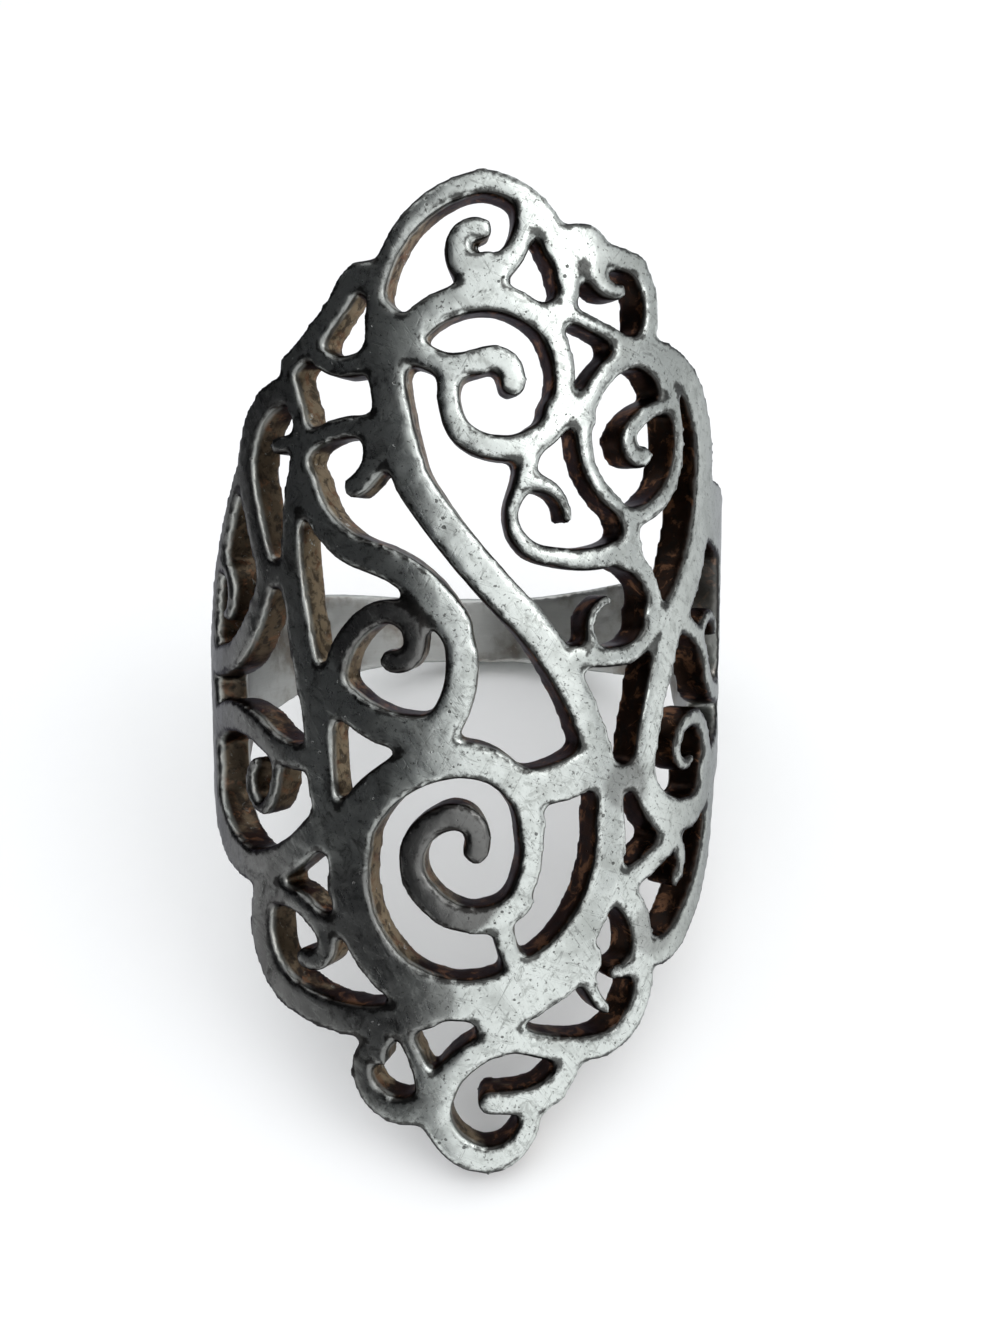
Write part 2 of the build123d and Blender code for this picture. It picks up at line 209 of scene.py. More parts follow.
@dataclass
class NodeDesk:
    """Adds shader nodes to a material and wires them, one line each.

    Args:
        material: the material that the nodes go in.
    """

    material: bpy.types.Material
    tree: bpy.types.NodeTree = field(init=False)

    def __post_init__(self) -> None:
        """Starts the material with an empty node tree."""
        self.material.use_nodes = True
        self.tree = self.material.node_tree
        self.tree.nodes.clear()

    def node(self, kind: str, inputs: dict | None = None, **settings: object) -> bpy.types.Node:
        """Adds a node.

        Args:
            kind: the node's type, without ShaderNode.
            inputs: socket name or number to a value, or to the socket that feeds it.
            settings: the node's own properties.

        Returns:
            The node.
        """
        made = self.tree.nodes.new("ShaderNode" + kind)
        for name, value in settings.items():
            setattr(made, name, value)
        for name, value in (inputs or {}).items():
            if isinstance(value, Socket):
                self.tree.links.new(value, made.inputs[name])
            else:
                made.inputs[name].default_value = value
        return made

    def sum(self, operation: str, first: object, second: object = 0.0) -> Socket:
        """One arithmetic step, by the Math node's operation, on numbers or sockets."""
        return self.node("Math", {0: first, 1: second}, operation=operation).outputs[0]

    def plus(self, first: object, second: object) -> Socket:
        """The sum of two readings."""
        return self.sum("ADD", first, second)

    def times(self, first: object, second: object) -> Socket:
        """The product of two readings."""
        return self.sum("MULTIPLY", first, second)

    def larger(self, first: object, second: object) -> Socket:
        """The larger of two readings."""
        return self.sum("MAXIMUM", first, second)

    def centred(self, grain: object) -> Socket:
        """A noise less its middle value, so that it swings both ways."""
        return self.sum("SUBTRACT", grain, NOISE_MIDDLE)

    def vector(self, operation: str, first: object, second: object | None = None) -> bpy.types.Node:
        """One step of vector arithmetic, whose result is the first output or Value."""
        inputs = {0: first} if second is None else {0: first, 1: second}
        return self.node("VectorMath", inputs, operation=operation)

    def in_mm(self, where: object) -> Socket:
        """A coordinate in metres, turned into millimetres."""
        return self.node("Mapping", {"Vector": where, "Scale": (1 / MM,) * 3}).outputs[0]

    def between(self, value: object, step: Step) -> Socket:
        """A smooth step over a socket.

        Args:
            value: the socket to read.
            step: the step.

        Returns:
            The step's socket.
        """
        rising = step.whole > step.start
        made = self.node(
            "MapRange",
            {
                "Value": value,
                "From Min": min(step.start, step.whole),
                "From Max": max(step.start, step.whole),
                "To Min": 0.0 if rising else step.height,
                "To Max": step.height if rising else 0.0,
            },
            interpolation_type="SMOOTHSTEP",
        )
        return made.outputs["Result"]

    def blend(self, share: object, first: object, second: object) -> Socket:
        """Mixes two colours.

        Args:
            share: how much of the second, a number or a socket.
            first: a colour or a socket.
            second: a colour or a socket.

        Returns:
            The mixed colour's socket.
        """
        made = self.node("Mix", data_type="RGBA")
        # The share is socket 0 of a Mix node, and its two colours are 6 and 7.
        for index, value in ((0, share), (6, first), (7, second)):
            if isinstance(value, Socket):
                self.tree.links.new(value, made.inputs[index])
            else:
                made.inputs[index].default_value = value if index == 0 else (*value, 1.0)
        return made.outputs[2]

    def blend_number(self, share: object, first: object, second: object) -> Socket:
        """Mixes two readings, by how much of the second."""
        return self.node("Mix", {0: share, 2: first, 3: second}, data_type="FLOAT").outputs[0]

    def grain(self, where: object, noise: Noise) -> Socket:
        """Soft noise.

        Args:
            where: the coordinate's socket, in millimetres.
            noise: the noise.

        Returns:
            The noise value's socket.
        """
        made = self.node(
            "TexNoise",
            {
                "Vector": where,
                "Scale": noise.pitch,
                "Detail": noise.layers,
                "Roughness": noise.rough,
                "Distortion": noise.twist,
            },
        )
        return made.outputs["Fac"]

    def mark(self, where: object, mark: Mark) -> Socket:
        """How strong a kind of mark is at a coordinate in millimetres."""
        return self.between(self.grain(where, mark.noise), mark.step)

    def stretched(self, where: object, stroke: Stroke) -> Socket:
        """Coordinates for marks that are long one way.

        Args:
            where: the place on the unrolled cylinder, in millimetres.
            stroke: the lie of the marks.

        Returns:
            The coordinate's socket.
        """
        return self.node(
            "Mapping",
            {"Vector": where, "Scale": (stroke.wide, stroke.long, 1.0), "Rotation": (0, 0, stroke.lean)},
            vector_type="TEXTURE",
        ).outputs[0]


@dataclass(frozen=True)
class Readings:
    """What the shader knows of the point that it colours, each a socket.

    Args:
        spot: the place, in millimetres.
        unrolled: the place on the unrolled cylinder: round, along and out, in millimetres.
        across: millimetres round the outside, right of the shield's middle.
        radius: millimetres from the finger line.
        facing: how far the surface faces away from the finger.
        side: how far it faces right, round the band.
        rim: millimetres to the nearest sawn edge.
    """

    spot: Socket
    unrolled: Socket
    across: Socket
    radius: Socket
    facing: Socket
    side: Socket
    rim: Socket

    @classmethod
    def take(cls, desk: NodeDesk, line: FingerLine) -> "Readings":
        """Adds the nodes that read the point.

        Args:
            desk: the node desk.
            line: the finger line, which tells outside from inside.

        Returns:
            The readings.
        """
        spot = desk.in_mm(desk.node("TexCoord").outputs["Object"])
        turn = line.into_ring()
        ring = desk.node(
            "Mapping",
            {"Vector": spot, "Location": turn @ -line.centre / MM, "Rotation": turn.to_euler("XYZ")},
        ).outputs[0]
        right, back, along = desk.node("SeparateXYZ", {0: ring}).outputs
        flat = desk.node("CombineXYZ", {0: right, 1: back}).outputs[0]
        radius = desk.vector("LENGTH", flat).outputs["Value"]
        outward = desk.vector("NORMALIZE", flat).outputs[0]
        normal = desk.node(
            "Mapping",
            {"Vector": desk.node("NewGeometry").outputs["Normal"], "Rotation": turn.to_euler("XYZ")},
            vector_type="VECTOR",
        ).outputs[0]
        facing = desk.vector("DOT_PRODUCT", outward, normal).outputs["Value"]
        cross = desk.vector("CROSS_PRODUCT", outward, normal).outputs[0]
        side = desk.node("SeparateXYZ", {0: cross}).outputs[2]
        across = desk.times(desk.sum("ARCTAN2", right, desk.times(back, -1.0)), OUTER_RADIUS)
        unrolled = desk.node("CombineXYZ", {0: across, 1: along, 2: radius}).outputs[0]
        rim = desk.node("Attribute", attribute_name=RIM_NAME).outputs["Fac"]
        return cls(spot, unrolled, across, radius, facing, side, rim)


@dataclass(frozen=True)
class Finish:
    """What a finish gives the shader, each a socket.

    Args:
        colour: the colour of the metal.
        rough: its roughness.
        relief: how high it stands, for the bump, or None where it is even.
    """

    colour: Socket
    rough: Socket
    relief: Socket | None = None


@dataclass(frozen=True)
class Palette:
    """The colours of old silver.

    Args:
        bright: the rubbed metal.
        dull: the grey film where it isn't rubbed.
        tarnish_and_shade: the dark grey of the tarnished spots that no finger rubs, also the painted shade on
            the left of the outside.
        soot_and_shade: the black in pits and corners, also the painted shade on the edges that face away from
            the light and the mottling of the painted shade on the left.
        brown: the oxide on the walls of the gaps, near-black as painted shade where they face away from the
            light.
        gold: the oxide where the walls face the light, painted lighter as lit.
        rust: the redder oxide, in small patches.
        bore: the smooth metal inside.
        stain: the brown film inside, in patches.
    """

    bright: Colour = (0.69, 0.725, 0.695)
    dull: Colour = (0.30, 0.315, 0.295)
    tarnish_and_shade: Colour = (0.125, 0.122, 0.118)
    soot_and_shade: Colour = (0.016, 0.014, 0.013)
    brown: Colour = (0.024, 0.014, 0.010)
    gold: Colour = (0.30, 0.235, 0.155)
    rust: Colour = (0.20, 0.10, 0.055)
    bore: Colour = (0.55, 0.555, 0.54)
    stain: Colour = (0.20, 0.16, 0.125)


@dataclass(frozen=True)
class QuietSpot:
    """A part of the outside that is never rubbed, so it stays dark.

    Args:
        right: its middle round the outside, in millimetres right of the shield's middle.
        along: its middle towards the fingertip, in millimetres from the ring's centre.
        reach: its radius, in millimetres.
        depth: how dark it is, up to 1.
    """

    right: float
    along: float
    reach: float
    depth: float


@dataclass(frozen=True)
class Pits:
    """Casting pits, in clusters.

    Args:
        pitch: how many could lie along a millimetre.
        cluster: where they lie.
        reach: the radius of the widest, in millimetres.
        ragged: how far their outline wanders.
        lip: the step at their edge, past their radius.
        dark: how black they are.
        rough: their roughness.
    """

    pitch: float = 3.4
    cluster: Mark = Mark(Noise(pitch=0.9, layers=3.0), Step(start=0.47, whole=0.60))
    reach: float = 0.30
    ragged: float = 0.24
    lip: Step = Step(start=0.10, whole=0.02)
    dark: float = 0.7
    rough: float = 0.6

    def sockets(self, desk: NodeDesk, at: Readings, fine: object) -> Socket:
        """Adds the pits' nodes.

        Args:
            desk: the node desk.
            at: the readings.
            fine: the fine noise that makes their outline ragged.

        Returns:
            The socket of how far the point is in a pit.
        """
        holes = desk.node(
            "TexVoronoi", {"Vector": at.spot, "Scale": self.pitch, "Randomness": 1.0}, feature="F1"
        )
        chance = desk.node("TexWhiteNoise", {"Vector": holes.outputs["Position"]}, noise_dimensions="3D")
        size = desk.times(chance.outputs["Value"], desk.mark(at.spot, self.cluster))
        ragged = desk.plus(holes.outputs["Distance"], desk.times(fine, self.ragged))
        past = desk.sum("SUBTRACT", ragged, desk.times(size, self.reach))
        return desk.between(past, self.lip)


@dataclass(frozen=True)
class Scratches:
    """Fine scratches in a few directions.

    Args:
        strokes: the lie of each set.
        levels: the noise value at which each set starts.
        noise: the noise that they follow.
        rise: how far above its level a scratch is whole.
        fall: how far above its level it starts to end, and where it is gone.
        breaks: where the fine noise lets them show.
        dark: how black they are.
    """

    strokes: tuple[Stroke, ...] = (
        Stroke(lean=0.6, wide=0.16, long=2.6),
        Stroke(lean=-0.5, wide=0.22, long=2.6),
        Stroke(lean=1.2, wide=0.18, long=2.6),
    )
    levels: tuple[float, ...] = (0.61, 0.63, 0.62)
    noise: Noise = Noise(pitch=1.0, layers=1.0, rough=0.3)
    rise: float = 0.02
    fall: tuple[float, float] = (0.03, 0.06)
    breaks: Step = Step(start=0.40, whole=0.60)
    dark: float = 0.42

    def sockets(self, desk: NodeDesk, at: Readings, fine: object) -> Socket:
        """Adds the scratches' nodes.

        Args:
            desk: the node desk.
            at: the readings.
            fine: the fine noise that breaks them up.

        Returns:
            The socket of how far the point is in a scratch.
        """
        cuts = []
        for stroke, level in zip(self.strokes, self.levels):
            trace = desk.grain(desk.stretched(at.unrolled, stroke), self.noise)
            starts = desk.between(trace, Step(level, level + self.rise))
            ends = desk.between(trace, Step(level + self.fall[1], level + self.fall[0]))
            cuts.append(desk.times(starts, ends))
        return desk.times(reduce(desk.larger, cuts), desk.between(fine, self.breaks))


@dataclass(frozen=True)
class EdgeOxideAndShade:
    """The worn edges of the outside: black, partly oxide and partly painted shade, which is left off where
    they face right, towards the light.

    Args:
        ragged: the noise that makes the black ragged.
        bevel: how far the rounded part faces outward.
        lit_bare: how far right it faces where the black is left off, as lit.
        band: millimetres from the edge that the black reaches on the flats.
        sway: how far the band wanders, in millimetres.
        turned: how far right the flats face where the band ends.
        black: how black the bevel is.
    """

    ragged: Noise = Noise(pitch=2.4, rough=0.7)
    bevel: Step = Step(start=0.96, whole=0.80)
    lit_bare: Step = Step(start=0.40, whole=0.10)
    band: Step = Step(start=0.25, whole=0.12, height=0.86)
    sway: float = 0.50
    turned: Step = Step(start=0.30, whole=0.12)
    black: float = 0.95

    def sockets(self, desk: NodeDesk, at: Readings) -> Socket:
        """Adds the edge's nodes.

        Args:
            desk: the node desk.
            at: the readings.

        Returns:
            The socket of how black the point is.
        """
        # Painted shade: the black is kept where the edges face away from the light and left off where they
        # face right, towards it.
        offset = desk.centred(desk.grain(at.spot, self.ragged))
        dark_side = desk.between(desk.plus(at.side, offset), self.lit_bare)
        bevel = desk.times(desk.between(at.facing, self.bevel), dark_side)
        band = desk.between(desk.plus(at.rim, desk.times(offset, self.sway)), self.band)
        band = desk.times(band, desk.between(at.side, self.turned))
        return desk.larger(desk.times(bevel, self.black), band)


@dataclass(frozen=True)
class RubbedFace:
    """The outside: rubbed metal with film, pits and scratches, and painted shade on its left.

    Args:
        fine: the fine noise that breaks up edges and scratches.
        cloud: the broad noise that shapes film and tarnish.
        film: where in the cloud the grey film lies.
        blot: smaller blots of film.
        edge: film along the sawn edges, by millimetres from them.
        edge_breaks: where the fine noise lets that film show.
        brush: the lie of the brush marks.
        brush_noise: the noise that they follow.
        brush_film: how they dull the metal.
        specks: black specks.
        pits: casting pits.
        scratches: fine scratches.
        quiet: the parts of the outside that stay dark.
        quiet_sway: how far their outline wanders, in millimetres.
        quiet_fade: millimetres past their radius, where they start and are whole.
        left: where the painted shade on the left side starts, in millimetres across.
        left_sway: how far its outline wanders, in millimetres.
        left_dark: how dark it is.
        left_back: where it ends, at the back of the band.
        far_left: more painted shade where the shield turns away on the left.
        far_right: greyer, in the dull grey, where it turns away on the right.
        right_back: where that ends, at the back of the band.
        shade_mottle: dark mottling in the painted shade on the left.
        rubbed: fine rubbed spots that lighten the painted shade on the left in places.
        rubbed_scratches: how much of the scratches is rubbed there.
        rubbed_brush: where the brush marks let those spots show.
        rubbed_light: how bright those spots are.
        worn: the black oxide and painted shade along the worn edges.
        polish: roughness of the rubbed metal.
        film_rough: what the film adds to it.
        brush_rough: what the brush marks add or take.
        scratch_depth: how deep a scratch is beside a pit.
        brush_height: how high the brush marks stand.
    """

    fine: Noise = Noise(pitch=4.5, rough=0.7)
    cloud: Noise = Noise(pitch=0.55, layers=6.0, rough=0.62, twist=0.4)
    film: Step = Step(start=0.47, whole=0.68, height=0.55)
    blot: Mark = Mark(Noise(pitch=2.1, layers=6.0, rough=0.70, twist=0.7), Step(0.49, 0.67, 0.62))
    edge: Step = Step(start=0.24, whole=0.02, height=0.6)
    edge_breaks: Step = Step(start=0.40, whole=0.64)
    brush: Stroke = Stroke(lean=0.35, wide=0.09, long=0.9)
    brush_noise: Noise = Noise(pitch=1.0, rough=0.7, twist=0.6)
    brush_film: Step = Step(start=0.44, whole=0.72, height=0.14)
    specks: Mark = Mark(Noise(pitch=7.5, layers=3.0, rough=0.62), Step(0.60, 0.68, 0.76))
    pits: Pits = Pits()
    scratches: Scratches = Scratches()
    quiet: tuple[QuietSpot, ...] = (
        QuietSpot(right=-0.9, along=-6.8, reach=2.5, depth=0.92),
        QuietSpot(right=-2.9, along=0.9, reach=1.9, depth=0.92),
        QuietSpot(right=6.0, along=-4.2, reach=1.0, depth=0.55),
        QuietSpot(right=7.6, along=-9.6, reach=1.2, depth=0.50),
        QuietSpot(right=-4.6, along=-11.0, reach=4.2, depth=0.60),
    )
    quiet_sway: float = 0.8
    quiet_fade: tuple[float, float] = (0.55, 0.15)
    left: Step = Step(start=1.6, whole=-0.6)
    left_sway: float = 5.0
    left_dark: float = 0.62
    left_back: Step = Step(start=-24.0, whole=-15.0)
    far_left: Step = Step(start=-5.0, whole=-8.0, height=0.80)
    far_right: Step = Step(start=6.5, whole=9.5, height=0.55)
    right_back: Step = Step(start=24.0, whole=15.0)
    shade_mottle: Mark = Mark(Noise(pitch=1.1, layers=6.0, rough=0.72, twist=0.9), Step(0.50, 0.66, 0.62))
    rubbed: Step = Step(start=0.53, whole=0.70)
    rubbed_scratches: float = 0.9
    rubbed_brush: Step = Step(start=0.38, whole=0.60)
    rubbed_light: float = 0.60
    worn: EdgeOxideAndShade = EdgeOxideAndShade()
    polish: float = 0.29
    film_rough: float = 0.16
    brush_rough: float = 0.18
    scratch_depth: float = 0.15
    brush_height: float = 0.14

    def sockets(self, desk: NodeDesk, at: Readings, palette: Palette) -> Finish:
        """Adds the nodes of the outside.

        Args:
            desk: the node desk.
            at: the readings.
            palette: the colours.

        Returns:
            The finish.
        """
        fine = desk.grain(at.spot, self.fine)
        cloud = desk.grain(at.spot, self.cloud)
        brush = desk.grain(desk.stretched(at.unrolled, self.brush), self.brush_noise)
        edge = desk.times(desk.between(at.rim, self.edge), desk.between(fine, self.edge_breaks))
        film = desk.larger(desk.between(cloud, self.film), desk.mark(at.spot, self.blot))
        film = desk.larger(film, edge)
        pit = self.pits.sockets(desk, at, fine)
        scratch = self.scratches.sockets(desk, at, fine)

        colour = desk.blend(film, palette.bright, palette.dull)
        colour = desk.blend(desk.between(brush, self.brush_film), colour, palette.dull)
        colour = desk.blend(desk.mark(at.spot, self.specks), colour, palette.soot_and_shade)
        colour = desk.blend(desk.times(pit, self.pits.dark), colour, palette.soot_and_shade)
        colour = desk.blend(desk.times(scratch, self.scratches.dark), colour, palette.soot_and_shade)
        colour = self._darken(desk, at, palette, colour, cloud)
        # Painted shade: the left of the outside is darkened, more where the shield turns away, with dark
        # mottling and lighter rubbed spots in it.
        left = self._left_side(desk, at, cloud)
        colour = desk.blend(desk.times(left, self.left_dark), colour, palette.tarnish_and_shade)
        colour = desk.blend(self._turned(desk, at, self.far_left, self.left_back), colour, palette.tarnish_and_shade)
        shade_mottle = desk.times(desk.mark(at.spot, self.shade_mottle), left)
        colour = desk.blend(shade_mottle, colour, palette.soot_and_shade)
        rubbed = desk.larger(desk.between(fine, self.rubbed), desk.times(scratch, self.rubbed_scratches))
        rubbed = desk.times(desk.times(rubbed, left), desk.between(brush, self.rubbed_brush))
        colour = desk.blend(desk.times(rubbed, self.rubbed_light), colour, palette.dull)
        colour = desk.blend(self._turned(desk, at, self.far_right, self.right_back), colour, palette.dull)
        # Painted shade: black along the edges that face away from the light, on top of their oxide.
        colour = desk.blend(self.worn.sockets(desk, at), colour, palette.soot_and_shade)

        rough = desk.plus(desk.times(film, self.film_rough), self.polish)
        rough = desk.plus(rough, desk.times(desk.centred(brush), self.brush_rough))
        rough = desk.larger(rough, desk.times(pit, self.pits.rough))
        sunk = desk.larger(pit, desk.times(scratch, self.scratch_depth))
        relief = desk.plus(desk.times(sunk, -1.0), desk.times(brush, self.brush_height))
        return Finish(colour, rough, relief)

    def _darken(
        self, desk: NodeDesk, at: Readings, palette: Palette, colour: object, cloud: object
    ) -> Socket:
        """Lays the tarnished grey on the quiet spots.

        Args:
            desk: the node desk.
            at: the readings.
            palette: the colours.
            colour: the colour so far.
            cloud: the broad noise that makes their outline wander.

        Returns:
            The colour's socket.
        """
        start, whole = self.quiet_fade
        for quiet in self.quiet:
            middle = (quiet.right, quiet.along, OUTER_RADIUS)
            away = desk.vector("DISTANCE", at.unrolled, middle).outputs["Value"]
            away = desk.plus(away, desk.times(cloud, self.quiet_sway))
            still = desk.between(away, Step(quiet.reach + start, quiet.reach + whole, quiet.depth))
            colour = desk.blend(still, colour, palette.tarnish_and_shade)
        return colour

    def _left_side(self, desk: NodeDesk, at: Readings, cloud: object) -> Socket:
        """How far the point is in the painted shade on the left, whose outline follows the cloud."""
        left = desk.between(desk.plus(at.across, desk.times(cloud, self.left_sway)), self.left)
        return desk.times(left, desk.between(at.across, self.left_back))

    def _turned(self, desk: NodeDesk, at: Readings, far: Step, back: Step) -> Socket:
        """How far the point is where the shield turns away, up to the back of the band."""
        return desk.times(desk.between(at.across, far), desk.between(at.across, back))


@dataclass(frozen=True)
class GapWall:
    """The sides of the gaps: brown to black oxide, with painted light where they face right, towards the
    light, golden there and with painted highlights on their lips.

    Args:
        patch: the noise that shapes the patches of painted light.
        patch_swing: how far that noise moves it.
        lit_side: how far right the wall faces where it is painted golden, as lit.
        left_wall_shade: where the walls are darker, at the far left, as painted shade.
        fleck_noise: the noise of the flecks.
        flecks: how sooty they are.
        redder: redder patches.
        lit_bare: spots of bright metal, shown only in the painted light on the walls, as painted highlights.
        lip: the painted highlight on the lip of the wall, by its radius.
        highlight_side: how far right it faces.
        bright: how bright the painted highlights are.
        shank: where the plain band starts, in millimetres from the middle.
        shank_film: how grey the band's edges are.
        crust: roughness of the oxide between its flecks.
        fleck_rough: what the flecks add.
    """

    patch: Noise = Noise(pitch=0.8, twist=0.3)
    patch_swing: float = 2.2
    lit_side: Step = Step(start=0.25, whole=0.95)
    left_wall_shade: Step = Step(start=-5.5, whole=-8.0, height=0.65)
    fleck_noise: Noise = Noise(pitch=2.6, rough=0.65, twist=0.5)
    flecks: Step = Step(start=0.46, whole=0.62, height=0.72)
    redder: Mark = Mark(Noise(pitch=1.5, rough=0.68, twist=0.6), Step(0.53, 0.64, 0.62))
    lit_bare: Mark = Mark(Noise(pitch=3.4, layers=4.0, rough=0.7, twist=0.8), Step(0.62, 0.70))
    lip: Step = Step(start=10.10, whole=10.36, height=0.7)
    highlight_side: Step = Step(start=0.1, whole=0.6)
    bright: float = 0.8
    shank: Step = Step(start=12.0, whole=17.0, height=0.92)
    shank_film: float = 1.1
    crust: float = 0.26
    fleck_rough: float = 0.2

    def sockets(self, desk: NodeDesk, at: Readings, palette: Palette) -> Finish:
        """Adds the nodes of the walls.

        Args:
            desk: the node desk.
            at: the readings.
            palette: the colours.

        Returns:
            The finish.
        """
        swing = desk.times(desk.centred(desk.grain(at.spot, self.patch)), self.patch_swing)
        # Painted light: walls that face right, towards the light, are painted golden, less at the far left,
        # which is painted shade.
        lit_side = desk.between(desk.plus(at.side, swing), self.lit_side)
        lit_side = desk.times(lit_side, desk.sum("SUBTRACT", 1.0, desk.between(at.across, self.left_wall_shade)))
        flecks = desk.grain(at.spot, self.fleck_noise)
        # Painted highlight along the lip of the walls that face right, and bright spots in the painted light.
        lip = desk.times(desk.between(at.radius, self.lip), desk.between(at.side, self.highlight_side))
        lit_bare = desk.larger(desk.times(desk.mark(at.spot, self.lit_bare), lit_side), lip)
        shank = desk.between(desk.sum("ABSOLUTE", at.across), self.shank)
        grey = desk.blend(desk.times(flecks, self.shank_film), palette.bright, palette.dull)

        # Lit walls painted golden, the rest near-black as painted shade.
        colour = desk.blend(lit_side, palette.brown, palette.gold)
        colour = desk.blend(desk.between(flecks, self.flecks), colour, palette.soot_and_shade)
        colour = desk.blend(desk.mark(at.spot, self.redder), colour, palette.rust)
        colour = desk.blend(desk.times(lit_bare, self.bright), colour, palette.bright)
        colour = desk.blend(shank, colour, grey)
        return Finish(colour, desk.plus(desk.times(flecks, self.fleck_rough), self.crust))


@dataclass(frozen=True)
class BoreSkin:
    """The inside: smooth grey metal with a brown film in patches.

    Args:
        stain: the patches of brown film.
        rub_stretch: how the rub marks are drawn out round the finger.
        rub: the noise that they follow.
        rub_film: how they dull the metal.
        polish: roughness of the metal.
        rub_rough: what the rub marks add.
    """

    stain: Mark = Mark(Noise(pitch=0.45), Step(start=0.45, whole=0.68, height=0.8))
    rub_stretch: tuple[float, float, float] = (0.5, 9.0, 1.0)
    rub: Noise = Noise(pitch=1.0, layers=3.0)
    rub_film: float = 0.25
    polish: float = 0.28
    rub_rough: float = 0.2

    def sockets(self, desk: NodeDesk, at: Readings, palette: Palette) -> Finish:
        """Adds the nodes of the inside.

        Args:
            desk: the node desk.
            at: the readings.
            palette: the colours.

        Returns:
            The finish.
        """
        drawn = desk.node("Mapping", {"Vector": at.unrolled, "Scale": self.rub_stretch}).outputs[0]
        rub = desk.grain(drawn, self.rub)
        colour = desk.blend(desk.mark(at.spot, self.stain), palette.bore, palette.stain)
        colour = desk.blend(desk.times(rub, self.rub_film), colour, palette.dull)
        return Finish(colour, desk.plus(desk.times(rub, self.rub_rough), self.polish))


@dataclass(frozen=True)
class OldSilver:
    """Cast silver, worn bright outside and oxidised in its gaps.

    Args:
        palette: its colours.
        face: the outside.
        wall: the sides of the gaps.
        bore: the inside.
        glance: how much of each colour it mirrors where it is seen edge-on.
        lumps: the grain of the casting.
        lump_height: how high the grain stands beside the marks.
        bump: how strong marks and grain are.
        bump_height: their height, in millimetres.
    """

    palette: Palette = Palette()
    face: RubbedFace = RubbedFace()
    wall: GapWall = GapWall()
    bore: BoreSkin = BoreSkin()
    glance: Colour = (0.50, 0.50, 0.53)
    lumps: Noise = Noise(pitch=7.0)
    lump_height: float = 0.25
    bump: float = 0.5
    bump_height: float = 0.03

    def material(self, name: str, line: FingerLine) -> bpy.types.Material:
        """Builds the node material.

        Args:
            name: the material's name.
            line: the finger line, which tells outside from inside.

        Returns:
            The material.
        """
        made = bpy.data.materials.new(name)
        desk = NodeDesk(made)
        at = Readings.take(desk, line)
        face = self.face.sockets(desk, at, self.palette)
        wall = self.wall.sockets(desk, at, self.palette)
        bore = self.bore.sockets(desk, at, self.palette)
        outside = desk.between(at.facing, Zone.FACE.value)
        inside = desk.between(at.facing, Zone.BORE.value)
        colour = desk.blend(inside, desk.blend(outside, wall.colour, face.colour), bore.colour)
        rough = desk.blend_number(inside, desk.blend_number(outside, wall.rough, face.rough), bore.rough)
        height = desk.plus(face.relief, desk.times(desk.grain(at.spot, self.lumps), self.lump_height))
        bump = desk.node(
            "Bump", {"Strength": self.bump, "Distance": self.bump_height * MM, "Height": height}
        )
        shader = desk.node(
            "BsdfPrincipled",
            {
                "Base Color": colour,
                "Roughness": rough,
                "Metallic": 1.0,
                "Specular Tint": (*self.glance, 1.0),
                "Normal": bump.outputs[0],
            },
        )
        desk.node("OutputMaterial", {"Surface": shader.outputs[0]})
        return made


@dataclass(frozen=True)
class Swell:
    """One size of wave in the surface.

    Args:
        pitch: waves per millimetre.
        share: its share of the sway.
    """

    pitch: float
    share: float


